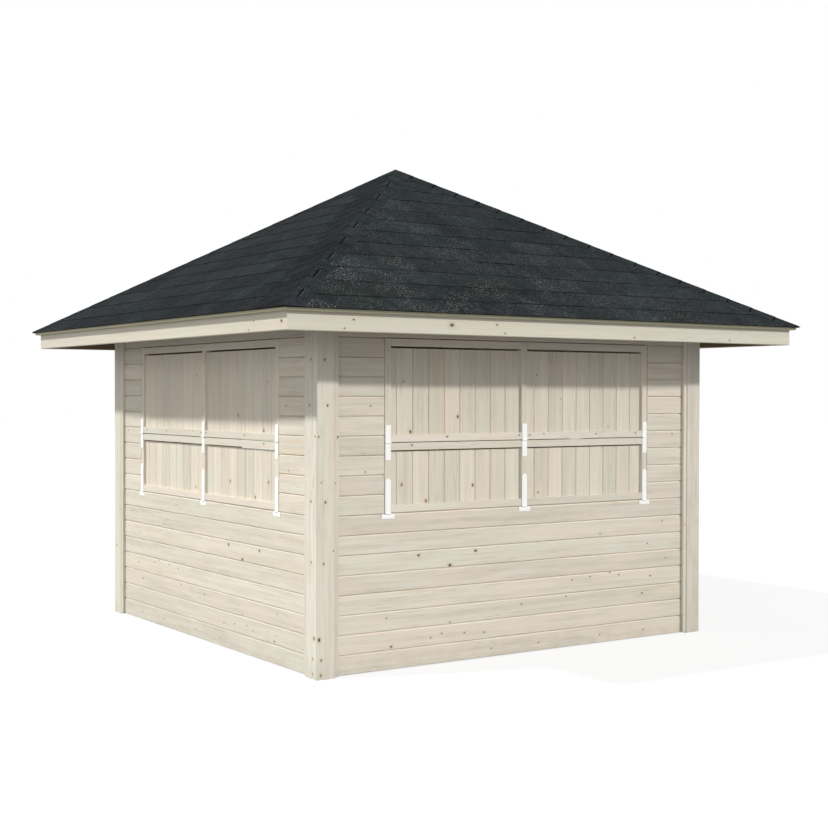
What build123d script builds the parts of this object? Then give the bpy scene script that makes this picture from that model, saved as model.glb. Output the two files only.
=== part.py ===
from build123d import *
import math
import os

# A square timber garden gazebo, 3 m over its corner posts, with a pyramid roof.
# Millimetres, +Z up, origin on the ground at the middle of the plan. The front faces -Y.

# Overall plan and posts
plan_width = 3000.0
post_width = 120.0
ground_gap = 5.0

# Horizontal wall boarding: courses up to the sill and up to the head of the hatches
board_pitch = 114.0
sill_courses = 8
head_courses = 17
header_height = 152.0
wall_thickness = 28.0
wall_setback = 22.0
flank_width = 344.0

# Battens beside the posts, and studs behind the ends of the boarding
batten_width = 28.0
batten_depth = 18.0
stud_width = 45.0
stud_depth = 45.0

# Folding hatches: a short lower leaf and a tall upper leaf, each a frame round upright boards
hatch_gap = 4.0
lower_leaf_height = 408.0
leaf_frame_width = 44.0
leaf_frame_depth = 44.0
leaf_recess = 16.0
leaf_board_thickness = 18.0

# The hatches of the two side walls stand this much nearer to the back than the middle of the wall
side_hatch_shift = 20.0

# Hinges of the leaves
strap_width = 38.0
strap_thickness = 3.0
mid_strap_length = 102.0
mid_strap_tip = 4.0
tee_strap_length = 205.0
tee_strap_tip = 14.0
tee_plate_width = 90.0
tee_plate_height = 30.0
knuckle_radius = 4.5
pin_radius = 3.2
knuckle_slit = 1.5
knuckle_count = 3

# Open doorway in the back wall
door_width = 1000.0

# Pyramid roof
roof_pitch = 30.0
eave_overhang = 460.0
shingle_thickness = 8.0
shingle_drip = 14.0
roof_board_thickness = 22.0
fascia_setback = 31.0
fascia_thickness = 22.0
fascia_height = 115.0

# Roof frame
plate_width = 95.0
plate_height = 145.0
plate_setback = 20.0
rafter_width = 45.0
rafter_depth = 95.0
rafter_seat_share = 1 / 3
jack_spacing = 720.0
king_post_across = 150.0
king_post_length = 420.0
king_post_faces = 8

# Length that a cutting solid runs past what it cuts
overrun = 200.0

post_face = plan_width / 2
post_inner = post_face - post_width
wall_face = post_face - wall_setback
wall_inner = wall_face - wall_thickness
sill_height = ground_gap + sill_courses * board_pitch
head_height = ground_gap + head_courses * board_pitch
opening_half = post_inner - flank_width
door_half = door_width / 2

slope = math.tan(math.radians(roof_pitch))
upright = 1 / math.cos(math.radians(roof_pitch))
shingle_reach = post_face + eave_overhang
board_reach = shingle_reach - shingle_drip
fascia_face = board_reach - fascia_setback
fascia_inner = fascia_face - fascia_thickness
plate_outer = post_face - plate_setback
plate_inner = plate_outer - plate_width
plate_bottom = head_height + header_height
plate_top = plate_bottom + plate_height
rafter_drop = rafter_depth * upright
sky = plate_top + shingle_reach

sides = {"front": 0, "right": 90, "back": 180, "left": 270}
hatch_sides = [name for name in sides if name != "back"]
opening_middle = {"front": 0, "right": side_hatch_shift, "back": 0, "left": -side_hatch_shift}


def roof_underside(reach):
    """Height of the rafters' upper faces where the roof plane is this far from the middle."""
    seat = plate_top + rafter_drop * (1 - rafter_seat_share)
    return seat + (plate_outer - reach) * slope


def board_top(reach):
    """Height of the roof boarding's upper face, on which the shingles lie."""
    return roof_underside(reach) + roof_board_thickness * upright


def box_between(low, high):
    """A box from its lowest to its highest corner."""
    size = [b - a for a, b in zip(low, high)]
    return Pos(*low) * Box(*size, align=(Align.MIN, Align.MIN, Align.MIN))


def turned(shape, side):
    """A shape made for the front, turned about the middle of the plan to another side."""
    return Rot(0, 0, sides[side]) * shape


def in_opening(shape, side):
    """A shape made round the middle of the front, moved to the middle of a side's opening."""
    return turned(Pos(opening_middle[side], 0, 0) * shape, side)


def sector(reach):
    """The quarter of the plan that belongs to the front, as a tall prism with its tip in the middle."""
    outline = Polyline((0, 0), (-reach, -reach), (reach, -reach), close=True)
    return extrude(make_face(outline), amount=sky)


def along_eave(points, reach):
    """A section in the YZ plane run along the front eave and mitred at both corners."""
    section = make_face(Plane.YZ * Polyline(*points, close=True))
    return extrude(section, amount=reach, both=True) & sector(reach)


def pitched_slab(reach, height, thickness):
    """One mitred roof slope with its underside at this height over the eave, cut plumb at the eave."""
    rise = reach * slope
    deep = thickness * upright
    points = [(-reach, height), (0, height + rise), (0, height + rise + deep), (-reach, height + deep)]
    return along_eave(points, reach)


def rafter_zone():
    """The layer that the rafters fill, as one body per side."""
    layer_foot = roof_underside(fascia_inner) - rafter_drop
    layer_peak = roof_underside(0) - rafter_drop
    top_foot = roof_underside(fascia_inner)
    top_peak = roof_underside(0)
    points = [(-fascia_inner, layer_foot), (0, layer_peak), (0, top_peak), (-fascia_inner, top_foot)]
    return along_eave(points, fascia_inner)


def plate_ring():
    """The four wall plates as one solid, for the seats of the rafters."""
    outer = box_between((-plate_outer, -plate_outer, plate_bottom), (plate_outer, plate_outer, plate_top))
    low = (-plate_inner, -plate_inner, plate_bottom - overrun)
    return outer - box_between(low, (plate_inner, plate_inner, plate_top + overrun))


def king_post():
    """An eight-sided post under the peak: each rafter butts on one of its faces."""
    top = roof_underside(0)
    half_face = 180 / king_post_faces
    outline = RegularPolygon(king_post_across / 2, king_post_faces, major_radius=False, rotation=half_face)
    block = Pos(0, 0, top - king_post_length) * extrude(outline, amount=king_post_length)
    cap = pitched_slab(king_post_across, roof_underside(king_post_across), king_post_across)
    for side in sides:
        block = block - turned(cap, side)
    return block


def hip_blank():
    """The upright slab that holds the hip rafter between the front and the left side."""
    length = math.hypot(fascia_inner, fascia_inner)
    slab = box_between((0, -rafter_width / 2, 0), (length, rafter_width / 2, sky))
    return Rot(0, 0, 180 + 45) * slab


def hip_rafter(zone, ring, king):
    """A hip rafter: backed to both slopes, notched over the wall plates and cut plumb at the corner."""
    both_slopes = zone + Rot(0, 0, sides["left"]) * zone
    return (hip_blank() & both_slopes) - ring - king


def common_rafters(zone, ring, king):
    """The middle rafter and the two jack rafters of the front slope."""
    hips = hip_blank() + mirror(hip_blank(), about=Plane.YZ)
    rafters = []
    for middle in (-jack_spacing, 0, jack_spacing):
        low = (middle - rafter_width / 2, -fascia_inner, 0)
        high = (middle + rafter_width / 2, 0, sky)
        rafters.append(((box_between(low, high) & zone) - ring - king) - hips)
    return rafters


def wall_plate():
    """One wall plate, mitred to its neighbours on the corner posts."""
    points = [(-plate_outer, plate_bottom), (-plate_inner, plate_bottom)]
    points += [(-plate_inner, plate_top), (-plate_outer, plate_top)]
    return along_eave(points, plate_outer)


def fascia():
    """One mitred eaves board, bevelled under the roof boarding and nailed to the rafters' ends."""
    bottom = roof_underside(fascia_face) - fascia_height
    points = [(-fascia_face, bottom), (-fascia_inner, bottom)]
    points += [(-fascia_inner, roof_underside(fascia_inner)), (-fascia_face, roof_underside(fascia_face))]
    return along_eave(points, fascia_face)


def boarding(left, right, bottom, top):
    """A stretch of the front wall's boarding."""
    return box_between((left, -wall_face, bottom), (right, -wall_inner, top))


def pair(piece):
    """A piece and its mirror image on the other half of the same side."""
    return [piece, mirror(piece, about=Plane.YZ)]


def corner_battens():
    """The upright battens that close the boarding against the two posts of the front."""
    low = (post_inner - batten_width, -wall_face - batten_depth, ground_gap)
    return pair(box_between(low, (post_inner, -wall_face, plate_bottom)))


def studs(opening):
    """The studs behind the boarding on both edges of an opening."""
    low = (opening, -wall_inner, ground_gap)
    return pair(box_between(low, (opening + stud_width, -wall_inner + stud_depth, plate_bottom)))


def leaf_frame(bottom, top):
    """A hatch leaf's frame: two rails and three stiles round two square-edged openings."""
    half = opening_half - hatch_gap
    back = -wall_face + leaf_frame_depth
    frame = box_between((-half, -wall_face, bottom), (half, back, top))
    for pane in leaf_panes(bottom, top, -wall_face - overrun, back + overrun):
        frame = frame - pane
    return frame


def leaf_panes(bottom, top, front, back):
    """Two boxes that fill a leaf frame's openings between these depths."""
    half = opening_half - hatch_gap
    low = (leaf_frame_width / 2, front, bottom + leaf_frame_width)
    return pair(box_between(low, (half - leaf_frame_width, back, top - leaf_frame_width)))


def leaf_boards(bottom, top):
    """The upright boarding of a leaf, let into the frame behind its recess."""
    front = -wall_face + leaf_recess
    return leaf_panes(bottom, top, front, front + leaf_board_thickness)


def knuckles(length):
    """A hinge barrel along X: knuckles of equal length on a pin, turned as one profile."""
    pitch = (length + knuckle_slit) / knuckle_count
    points = [(0, 0)]
    for number in range(knuckle_count):
        start = number * pitch
        end = start + pitch - knuckle_slit
        points += [(start, knuckle_radius), (end, knuckle_radius)]
        if number < knuckle_count - 1:
            points += [(end, pin_radius), (start + pitch, pin_radius)]
    points += [(length, 0)]
    return Pos(-length / 2, 0, 0) * revolve(make_face(Polyline(*points, close=True)), axis=Axis.X)


def strap(length, tip):
    """A flat hinge strap that rises from the origin, with its corners cut off at the tip."""
    half = strap_width / 2
    points = [(-half, 0), (half, 0), (half, length - tip), (half - tip, length)]
    points += [(-half + tip, length), (-half, length - tip)]
    return extrude(make_face(Plane.XZ * Polyline(*points, close=True)), amount=strap_thickness)


def mid_hinge():
    """The hinge between the two leaves: one strap up, one strap down and the barrel on the joint."""
    upper = strap(mid_strap_length, mid_strap_tip)
    return upper + mirror(upper, about=Plane.XY) + Pos(0, -knuckle_radius, 0) * knuckles(strap_width)


def tee_hinge():
    """The hinge at the sill: a long strap on the leaf and a cross plate on the wall."""
    half = tee_plate_width / 2
    plate = box_between((-half, -strap_thickness, -tee_plate_height), (half, 0, 0))
    barrel = Pos(0, -knuckle_radius, 0) * knuckles(strap_width)
    return strap(tee_strap_length, tee_strap_tip) + plate + barrel


def hinges(joint_height):
    """Three hinges on the joint of the leaves and three at the sill, one pair on each stile."""
    edge_stile = opening_half - hatch_gap - leaf_frame_width / 2
    pieces = []
    for place in (-edge_stile, 0, edge_stile):
        pieces.append(Pos(place, -wall_face, joint_height) * mid_hinge())
        pieces.append(Pos(place, -wall_face, sill_height) * tee_hinge())
    return pieces


def hatch(nodes, side):
    """The two leaves that close one hatch, with their boards and hinges."""
    lower_bottom = sill_height + hatch_gap
    lower_top = lower_bottom + lower_leaf_height
    upper_bottom = lower_top + hatch_gap
    upper_top = head_height - hatch_gap
    boards = leaf_boards(lower_bottom, lower_top) + leaf_boards(upper_bottom, upper_top)
    nodes[side + "_hatch_lower_leaf"] = in_opening(leaf_frame(lower_bottom, lower_top), side)
    nodes[side + "_hatch_upper_leaf"] = in_opening(leaf_frame(upper_bottom, upper_top), side)
    nodes[side + "_hatch_boards"] = [in_opening(board, side) for board in boards]
    joint_height = lower_top + hatch_gap / 2
    nodes[side + "_hatch_hinges"] = [in_opening(hinge, side) for hinge in hinges(joint_height)]


def walls(nodes):
    """Posts, battens, studs and the boarding round the openings."""
    for side in sides:
        post = box_between((-post_face, -post_face, 0), (-post_inner, -post_inner, plate_bottom))
        nodes["corner_post_" + side] = turned(post, side)
    battens = []
    jambs = []
    headers = []
    for side in sides:
        opening = opening_half if side in hatch_sides else door_half
        battens += [turned(batten, side) for batten in corner_battens()]
        jambs += [in_opening(stud, side) for stud in studs(opening)]
        headers.append(turned(boarding(-post_inner, post_inner, head_height, plate_bottom), side))
        foot = sill_height if side in hatch_sides else ground_gap
        middle = opening_middle[side]
        flanks = [boarding(-post_inner, middle - opening, foot, head_height)]
        flanks.append(boarding(middle + opening, post_inner, foot, head_height))
        nodes[side + "_wall_sides"] = [turned(flank, side) for flank in flanks]
        if side in hatch_sides:
            lower = boarding(-post_inner, post_inner, ground_gap, sill_height)
            nodes[side + "_wall_lower"] = turned(lower, side)
    nodes["corner_battens"] = battens
    nodes["jamb_studs"] = jambs
    nodes["wall_headers"] = headers


def roof(nodes):
    """The roof frame, the boarding, the shingle cover and the eaves boards."""
    zone = rafter_zone()
    ring = plate_ring()
    king = king_post()
    nodes["king_post"] = king
    hips = []
    rafters = []
    for side in sides:
        nodes[side + "_wall_plate"] = turned(wall_plate(), side)
        hips.append(turned(hip_rafter(zone, ring, king), side))
        rafters += [turned(rafter, side) for rafter in common_rafters(zone, ring, king)]
        boards = pitched_slab(board_reach, roof_underside(board_reach), roof_board_thickness)
        nodes[side + "_roof_boards"] = turned(boards, side)
        shingles = pitched_slab(shingle_reach, board_top(shingle_reach), shingle_thickness)
        nodes[side + "_shingles"] = turned(shingles, side)
        nodes[side + "_fascia"] = turned(fascia(), side)
    nodes["hip_rafters"] = hips
    nodes["common_rafters"] = rafters


def main():
    """Builds every node and writes one file for each."""
    os.makedirs("parts", exist_ok=True)
    nodes = {}
    walls(nodes)
    for side in hatch_sides:
        hatch(nodes, side)
    roof(nodes)
    for name, shape in nodes.items():
        if isinstance(shape, list):
            shape = Compound(children=shape)
        export_step(shape, os.path.join("parts", name + ".step"))


main()
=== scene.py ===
import math
import random
import bmesh
import bpy
import numpy as np
from mathutils import Matrix, Vector


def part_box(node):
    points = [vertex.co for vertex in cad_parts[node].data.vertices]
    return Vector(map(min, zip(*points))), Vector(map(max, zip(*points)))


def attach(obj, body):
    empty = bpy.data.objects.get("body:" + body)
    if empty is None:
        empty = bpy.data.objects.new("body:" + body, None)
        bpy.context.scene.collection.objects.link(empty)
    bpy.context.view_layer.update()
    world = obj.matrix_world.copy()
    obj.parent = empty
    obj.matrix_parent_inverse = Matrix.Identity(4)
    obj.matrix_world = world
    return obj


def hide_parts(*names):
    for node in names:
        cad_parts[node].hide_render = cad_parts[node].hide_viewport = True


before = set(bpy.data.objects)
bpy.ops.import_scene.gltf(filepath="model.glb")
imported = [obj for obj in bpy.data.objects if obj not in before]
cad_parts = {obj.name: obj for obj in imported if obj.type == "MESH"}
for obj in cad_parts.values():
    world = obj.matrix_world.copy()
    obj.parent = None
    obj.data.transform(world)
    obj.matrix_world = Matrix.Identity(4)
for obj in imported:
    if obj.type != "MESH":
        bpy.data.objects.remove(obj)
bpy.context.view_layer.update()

scene = bpy.context.scene
turns = {"front": 0, "right": 90, "back": 180, "left": 270}
hatch_sides = ("front", "right", "left")

# Seeds: every group of timbers and every slope draws its own tones and knots
seeds = {"wall": 10, "header": 50, "post": 60, "batten": 70, "stud": 80, "pane": 90, "leaf": 110,
         "fascia": 140, "deck": 150, "plate": 160, "king_post": 170, "hip": 171, "rafter": 172,
         "shingle": 200, "cap": 230}


# Sizes, in metres, read from the frame

def turn(side):
    """Carries a piece made for the front to another side."""
    return Matrix.Rotation(math.radians(turns[side]), 4, "Z")


def local_box(side, node):
    """A node's box as seen from its own side, as if that side were the front."""
    low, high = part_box(node)
    back = turn(side).inverted()
    ends = [back @ low, back @ high]
    return Vector(map(min, *ends)), Vector(map(max, *ends))


post_low, post_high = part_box("corner_post_front")
post_face, post_inner, post_top = -post_low.x, -post_high.x, post_high.z
post_width = post_face - post_inner
wall_low, wall_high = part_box("front_wall_lower")
wall_face, wall_depth = -wall_low.y, wall_high.y - wall_low.y
wall_foot, sill = wall_low.z, wall_high.z
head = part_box("front_wall_sides")[1].z
wall_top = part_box("wall_headers")[1].z
courses_to_head = 17
course = (head - wall_foot) / courses_to_head
batten_depth = -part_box("corner_battens")[0].y - wall_face
batten_width = 0.028
leaf_low, leaf_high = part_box("front_hatch_lower_leaf")
pane_low, pane_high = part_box("front_hatch_boards")
leaf_half = leaf_high.x
leaf_depth = leaf_high.y - leaf_low.y
hatch_gap = leaf_low.z - sill
member = leaf_half - pane_high.x
recess = pane_low.y - leaf_low.y
pane_depth = pane_high.y - pane_low.y
opening_half = leaf_half + hatch_gap
leaf_joint = (leaf_high.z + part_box("front_hatch_upper_leaf")[0].z) / 2
door_half = 0.5
fascia_low, fascia_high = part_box("front_fascia")
fascia_face = -fascia_low.y
fascia_depth = fascia_high.y - fascia_low.y
pitch = math.radians(30)
rise, run = math.sin(pitch), math.cos(pitch)
slope = rise / run
deck_low, deck_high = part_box("front_roof_boards")
deck_reach = -deck_low.y
deck_peak = deck_high.z
deck_eave = deck_peak - deck_reach * slope
deck_depth = (deck_eave - deck_low.z) * run
cover_reach = -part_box("front_shingles")[0].y
opening_middle = {}
for side in hatch_sides:
    low, high = local_box(side, side + "_hatch_upper_leaf")
    opening_middle[side] = (low.x + high.x) / 2


# Timber: every plank carries its own grain, tone and knots for the wood material

def axes(along, across, out, origin):
    """A placement with X along the grain, Y across it and Z out of the face."""
    columns = [Vector(v).to_4d() for v in (along, across, out, origin)]
    for column in columns[:3]:
        column.w = 0
    return Matrix(columns).transposed()


def level(x, y, z):
    """A plank that runs along the front, its face to the front."""
    return axes((1, 0, 0), (0, 0, 1), (0, -1, 0), (x, y, z))


def upright(x, y, z):
    """A plank that stands, its face to the front."""
    return axes((0, 0, 1), (-1, 0, 0), (0, -1, 0), (x, y, z))


def eased(width, depth, ease):
    """A rectangular section with its four edges planed off."""
    w, e = width / 2, ease
    return [(-w + e, -depth), (w - e, -depth), (w, -depth + e), (w, -e),
            (w - e, 0), (-w + e, 0), (-w, -e), (-w, -depth + e)]


# Shares of a board's depth, from its face, and the groove's extra depth
tongue_shares = (0.68, 0.66, 0.42, 0.40)
groove_shares = (0.37, 0.38, 0.70, 0.71)
groove_slack = 0.0012


def tongued(height, depth, vee, gap, tongue, low_vee=None):
    """A tongued and grooved board with a vee at both edges of its face. The lower vee may be smaller."""
    low_vee = low_vee or vee
    top, foot = height / 2 - gap / 2, -height / 2 + gap / 2
    tip, slot = top + tongue, foot + tongue + groove_slack
    edge = [(foot, -depth), (top, -depth)]
    if tongue:
        outs = [-share * depth for share in tongue_shares]
        edge += zip((top, tip, tip, top), outs)
    edge += [(top, -vee), (top - vee, 0), (foot + low_vee, 0), (foot, -low_vee)]
    if tongue:
        outs = [-share * depth for share in groove_shares]
        edge += zip((foot, slot, slot, foot), outs)
    return edge


# A tone is brightness, hue and heartwood. Below -2 its brightness makes the wood brown: painted shade for
# backs that lie in the shade under the roof.
painted_shade_tone = (-3.0, 0.5, 0.5)
# Brightness of the painted highlight on an upper vee
vee_highlight = 1.7
vee_reach, vee_least = 0.01, 0.001
knot_spacing, knot_radii, knot_span_share = 0.3, (0.0028, 0.0035, 0.0045, 0.006), 0.42
knots_together = 0.02
grain_span = 40
no_knot, no_knot_form = (900, 900, 900), (0.001, 0, 0)


def drawn_wood(rng):
    """A place in the grain to cut a plank from, and the plank's tone."""
    shift = [rng.uniform(0, grain_span) for _ in range(3)]
    tone = (rng.random(), rng.random(), rng.random())
    return shift, tone


def is_upper_vee(a, b):
    """Whether a stretch of a section is the vee at the upper edge of its face."""
    middle = (Vector(a) + Vector(b)) / 2
    return middle.x > 0 and middle.y > -vee_reach and a[0] > b[0] + vee_least


class Timbers:
    """Planks gathered into one mesh."""

    def __init__(self, seed):
        self.rng = random.Random(seed)
        self.points, self.faces = [], []
        self.grain, self.tone, self.knot, self.form = [], [], [], []

    def scatter(self, length, width, share):
        """Knots here and there along a plank: place along, place across, depth, radius and kind."""
        found = []
        count = max(1, round(length / knot_spacing))
        for number in range(count):
            if self.rng.random() < share:
                along = (number + self.rng.uniform(0.3, 0.7)) * length / count
                radius = self.rng.choice(knot_radii)
                across = self.rng.uniform(-knot_span_share, knot_span_share) * width
                found.append((along, across, 0.0, radius, self.rng.random()))
        return found

    def plank(self, place, length, section, knots=(), start=None, end=None, painted_shade_back=False,
              highlit_vee=False):
        """Adds a plank: a section in (across, out) run along the grain, its ends cut square or as given.
        The back face can be painted brown, as painted shade on the roof's underside. The upper vee can be
        painted pale, as a painted highlight where light catches it."""
        shift, tone = drawn_wood(self.rng)
        shift = Vector(shift)
        groups = []
        for knot in sorted(knots):
            if groups and knot[0] - groups[-1][-1][0] < knots_together:
                groups[-1].append(knot)
            else:
                groups.append([knot])
        cuts = [0.0] + [(a[-1][0] + b[0][0]) / 2 for a, b in zip(groups, groups[1:])] + [length]
        first, count = len(self.points), len(section)
        last = len(cuts) - 1
        for number, cut in enumerate(cuts):
            for across, out in section:
                along = cut
                if number == 0 and start:
                    along = start(across, out)
                if number == last and end:
                    along = end(across, out)
                spot = Vector((along, across, out))
                self.points.append(place @ spot)
                self.grain.append(spot + shift)
        deepest = min(out for _, out in section)
        for number in range(last):
            for j in range(count):
                k = (j + 1) % count
                a, b = first + number * count, first + (number + 1) * count
                middle = (Vector(section[j]) + Vector(section[k])) / 2
                look = tone
                # Backs under the roof take the brown tone: painted shade
                if painted_shade_back and section[j][1] == section[k][1] == deepest:
                    look = painted_shade_tone
                # The upper vee takes a paler tone: painted highlight
                if highlit_vee and is_upper_vee(section[j], section[k]):
                    look = (vee_highlight, tone[1], 0.0)
                self._face((a + j, a + k, b + k, b + j), look, groups, number, middle, shift)
        middle = Vector((0, deepest / 2))
        near_end = tuple(first + count - 1 - j for j in range(count))
        far_end = tuple(first + last * count + j for j in range(count))
        self._face(near_end, tone, groups, 0, middle, shift)
        self._face(far_end, tone, groups, last - 1, middle, shift)

    def _face(self, corners, tone, groups, number, middle, shift):
        """One face of a plank, with the nearest knot on its stretch of the plank."""
        self.faces.append(corners)
        self.tone.append(tone)
        if groups:
            near = min(groups[number], key=lambda knot: (Vector(knot[1:3]) - middle).length)
            along, across, out, radius, kind = near
            self.knot.append(Vector((along, across, out)) + shift)
            self.form.append((radius, kind, 0))
        else:
            self.knot.append(no_knot)
            self.form.append(no_knot_form)

    def object(self, name, side, material, slot, *nodes):
        """Makes the piece, turned to its side."""
        mesh = bpy.data.meshes.new(name)
        mesh.from_pydata([turn(side) @ p for p in self.points], [], self.faces)
        stamp_wood(mesh, self.grain, self.tone, self.knot, self.form)
        piece(name, mesh, material, slot, *nodes)


def stamp(mesh, name, domain, values):
    """Writes a vector for each point or face of a mesh."""
    layer = mesh.attributes.new(name, "FLOAT_VECTOR", domain)
    layer.data.foreach_set("vector", np.array([tuple(v) for v in values], np.float32).ravel())


def stamp_wood(mesh, grain, tone, knot, form):
    """Writes the grain of each point, and the tone and the knot of each face."""
    stamp(mesh, "grain", "POINT", grain)
    for name, values in (("tone", tone), ("knot", knot), ("knot_form", form)):
        stamp(mesh, name, "FACE", values)


def piece(name, mesh, material, slot, *nodes):
    """Puts a mesh in the scene as a piece of the object, in place of the given nodes."""
    mesh.materials.append(material)
    made = bpy.data.objects.new(name, mesh)
    scene.collection.objects.link(made)
    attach(made, "root")
    if nodes:
        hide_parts(*nodes)


weld, flat_angle, sharp_angle = 1e-5, 0.01, 0.5


def eased_copy(name, node, ease, material, slot, seed=None):
    """A copy of a node with its sharp edges planed off. A seed gives each of its timbers a grain."""
    bm = bmesh.new()
    bm.from_mesh(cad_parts[node].data)
    bmesh.ops.remove_doubles(bm, verts=bm.verts, dist=weld)
    bmesh.ops.dissolve_limit(bm, angle_limit=flat_angle, verts=bm.verts, edges=bm.edges)
    sharp = [e for e in bm.edges if e.is_manifold and e.calc_face_angle(0) > sharp_angle]
    bmesh.ops.bevel(bm, geom=sharp, offset=ease, segments=1, profile=0.5, affect="EDGES",
                    clamp_overlap=True)
    bmesh.ops.recalc_face_normals(bm, faces=bm.faces)
    mesh = bpy.data.meshes.new(name)
    bm.to_mesh(mesh)
    bm.free()
    if seed is not None:
        grain_islands(mesh, random.Random(seed))
    piece(name, mesh, material, slot, node)


def grain_islands(mesh, rng):
    """Gives each loose timber of a mesh a grain direction along its greatest length."""
    owner = list(range(len(mesh.vertices)))

    def root(v):
        while owner[v] != v:
            owner[v] = owner[owner[v]]
            v = owner[v]
        return v

    for edge in mesh.edges:
        a, b = root(edge.vertices[0]), root(edge.vertices[1])
        owner[a] = b
    groups = {}
    for v in range(len(owner)):
        groups.setdefault(root(v), []).append(v)
    grain = [Vector()] * len(owner)
    tone_of = {}
    for number in sorted(groups):
        members = groups[number]
        spots = np.array([mesh.vertices[v].co for v in members], float)
        middle = spots.mean(0)
        values, vectors = np.linalg.eigh(np.cov((spots - middle).T))
        basis = vectors[:, np.argsort(values)[::-1]]
        shift, tone_of[number] = drawn_wood(rng)
        for v, spot in zip(members, (spots - middle) @ basis + np.array(shift)):
            grain[v] = Vector(spot)
    tones = [tone_of[root(f.vertices[0])] for f in mesh.polygons]
    stamp_wood(mesh, grain, tones, [no_knot] * len(tones), [no_knot_form] * len(tones))


# Materials

class Nodes:
    """Short names for the shader nodes of one material or world."""

    def __init__(self, owner):
        self.owner = owner
        owner.use_nodes = True
        self.tree = owner.node_tree
        self.tree.nodes.clear()

    def add(self, kind, *values, **named):
        """A node with values or links put on its inputs, by place or by name."""
        node = self.tree.nodes.new("ShaderNode" + kind)
        for key, value in [*enumerate(values), *named.items()]:
            self.put(node.inputs[key], value)
        return node

    def put(self, socket, value):
        if isinstance(value, bpy.types.NodeSocket):
            self.tree.links.new(value, socket)
        else:
            socket.default_value = (*value, 1) if socket.type == "RGBA" else value

    def attribute(self, name):
        node = self.add("Attribute")
        node.attribute_name = name
        return node.outputs["Vector"]

    def position(self):
        return self.add("NewGeometry").outputs["Position"]

    def seen(self):
        """1 for what the camera, a reflection or a clear pane shows, 0 for what only gives light."""
        rays = self.add("LightPath").outputs
        shown = self.math("ADD", rays["Is Camera Ray"], rays["Is Glossy Ray"])
        return self.math("MINIMUM", self.math("ADD", shown, rays["Is Transmission Ray"]), 1.0)

    def split(self, vector):
        return self.add("SeparateXYZ", vector).outputs

    def join(self, x, y, z):
        return self.add("CombineXYZ", x, y, z).outputs[0]

    def math(self, operation, *values):
        node = self.add("Math", *values)
        node.operation = operation
        return node.outputs[0]

    def vector(self, operation, *values):
        node = self.add("VectorMath", *values)
        node.operation = operation
        return node.outputs["Value" if operation == "LENGTH" else "Vector"]

    def ramp(self, value, low, high, to_low=0.0, to_high=1.0):
        """A smooth step from one value to another."""
        node = self.add("MapRange", value, low, high, to_low, to_high)
        node.interpolation_type = "SMOOTHSTEP"
        return node.outputs[0]

    def noise(self, vector, scale, detail=2.0, roughness=0.5):
        node = self.add("TexNoise", Vector=vector, Scale=scale, Detail=detail, Roughness=roughness)
        return node.outputs["Fac"]

    def mix(self, factor, a, b, blend="MIX"):
        node = self.add("Mix", factor)
        node.data_type = "RGBA"
        node.blend_type = blend
        self.put(node.inputs[6], a)
        self.put(node.inputs[7], b)
        return node.outputs[2]

    def shaded(self, colour, shade):
        """A colour times one value."""
        return self.mix(1.0, colour, self.join(shade, shade, shade), "MULTIPLY")

    def bump(self, height, strength, distance):
        return self.add("Bump", Height=height, Strength=strength, Distance=distance).outputs["Normal"]

    def finish(self, **inputs):
        """Ends the tree in one Principled shader."""
        named = {name.replace("_", " "): value for name, value in inputs.items()}
        self.add("OutputMaterial", self.add("BsdfPrincipled", **named).outputs[0])
        return self.owner


def tinted(colour, shares):
    """A colour with each channel times its own share."""
    return tuple(c * share for c, share in zip(colour, shares))


warm_shares, green_shares, rosy_shares = (1.02, 0.86, 0.68), (0.92, 0.96, 0.92), (1.03, 0.94, 0.91)
ring_shares, dash_shares, soil_shares = (0.76, 0.66, 0.52), (0.82,) * 3, (0.55,) * 3
dark_knot, red_knot = (0.055, 0.038, 0.026), (0.27, 0.115, 0.035)
# Browns of the painted shade on backs under the roof
pale_shade_brown, dark_shade_brown = (0.235, 0.183, 0.115), (0.155, 0.117, 0.071)
knot_stretch_shares, smallest_knot = (0.72, 1.0, 1.0), 0.0005
line_count, line_wander = 620.0, 46.0
soil_height = 0.16


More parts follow.
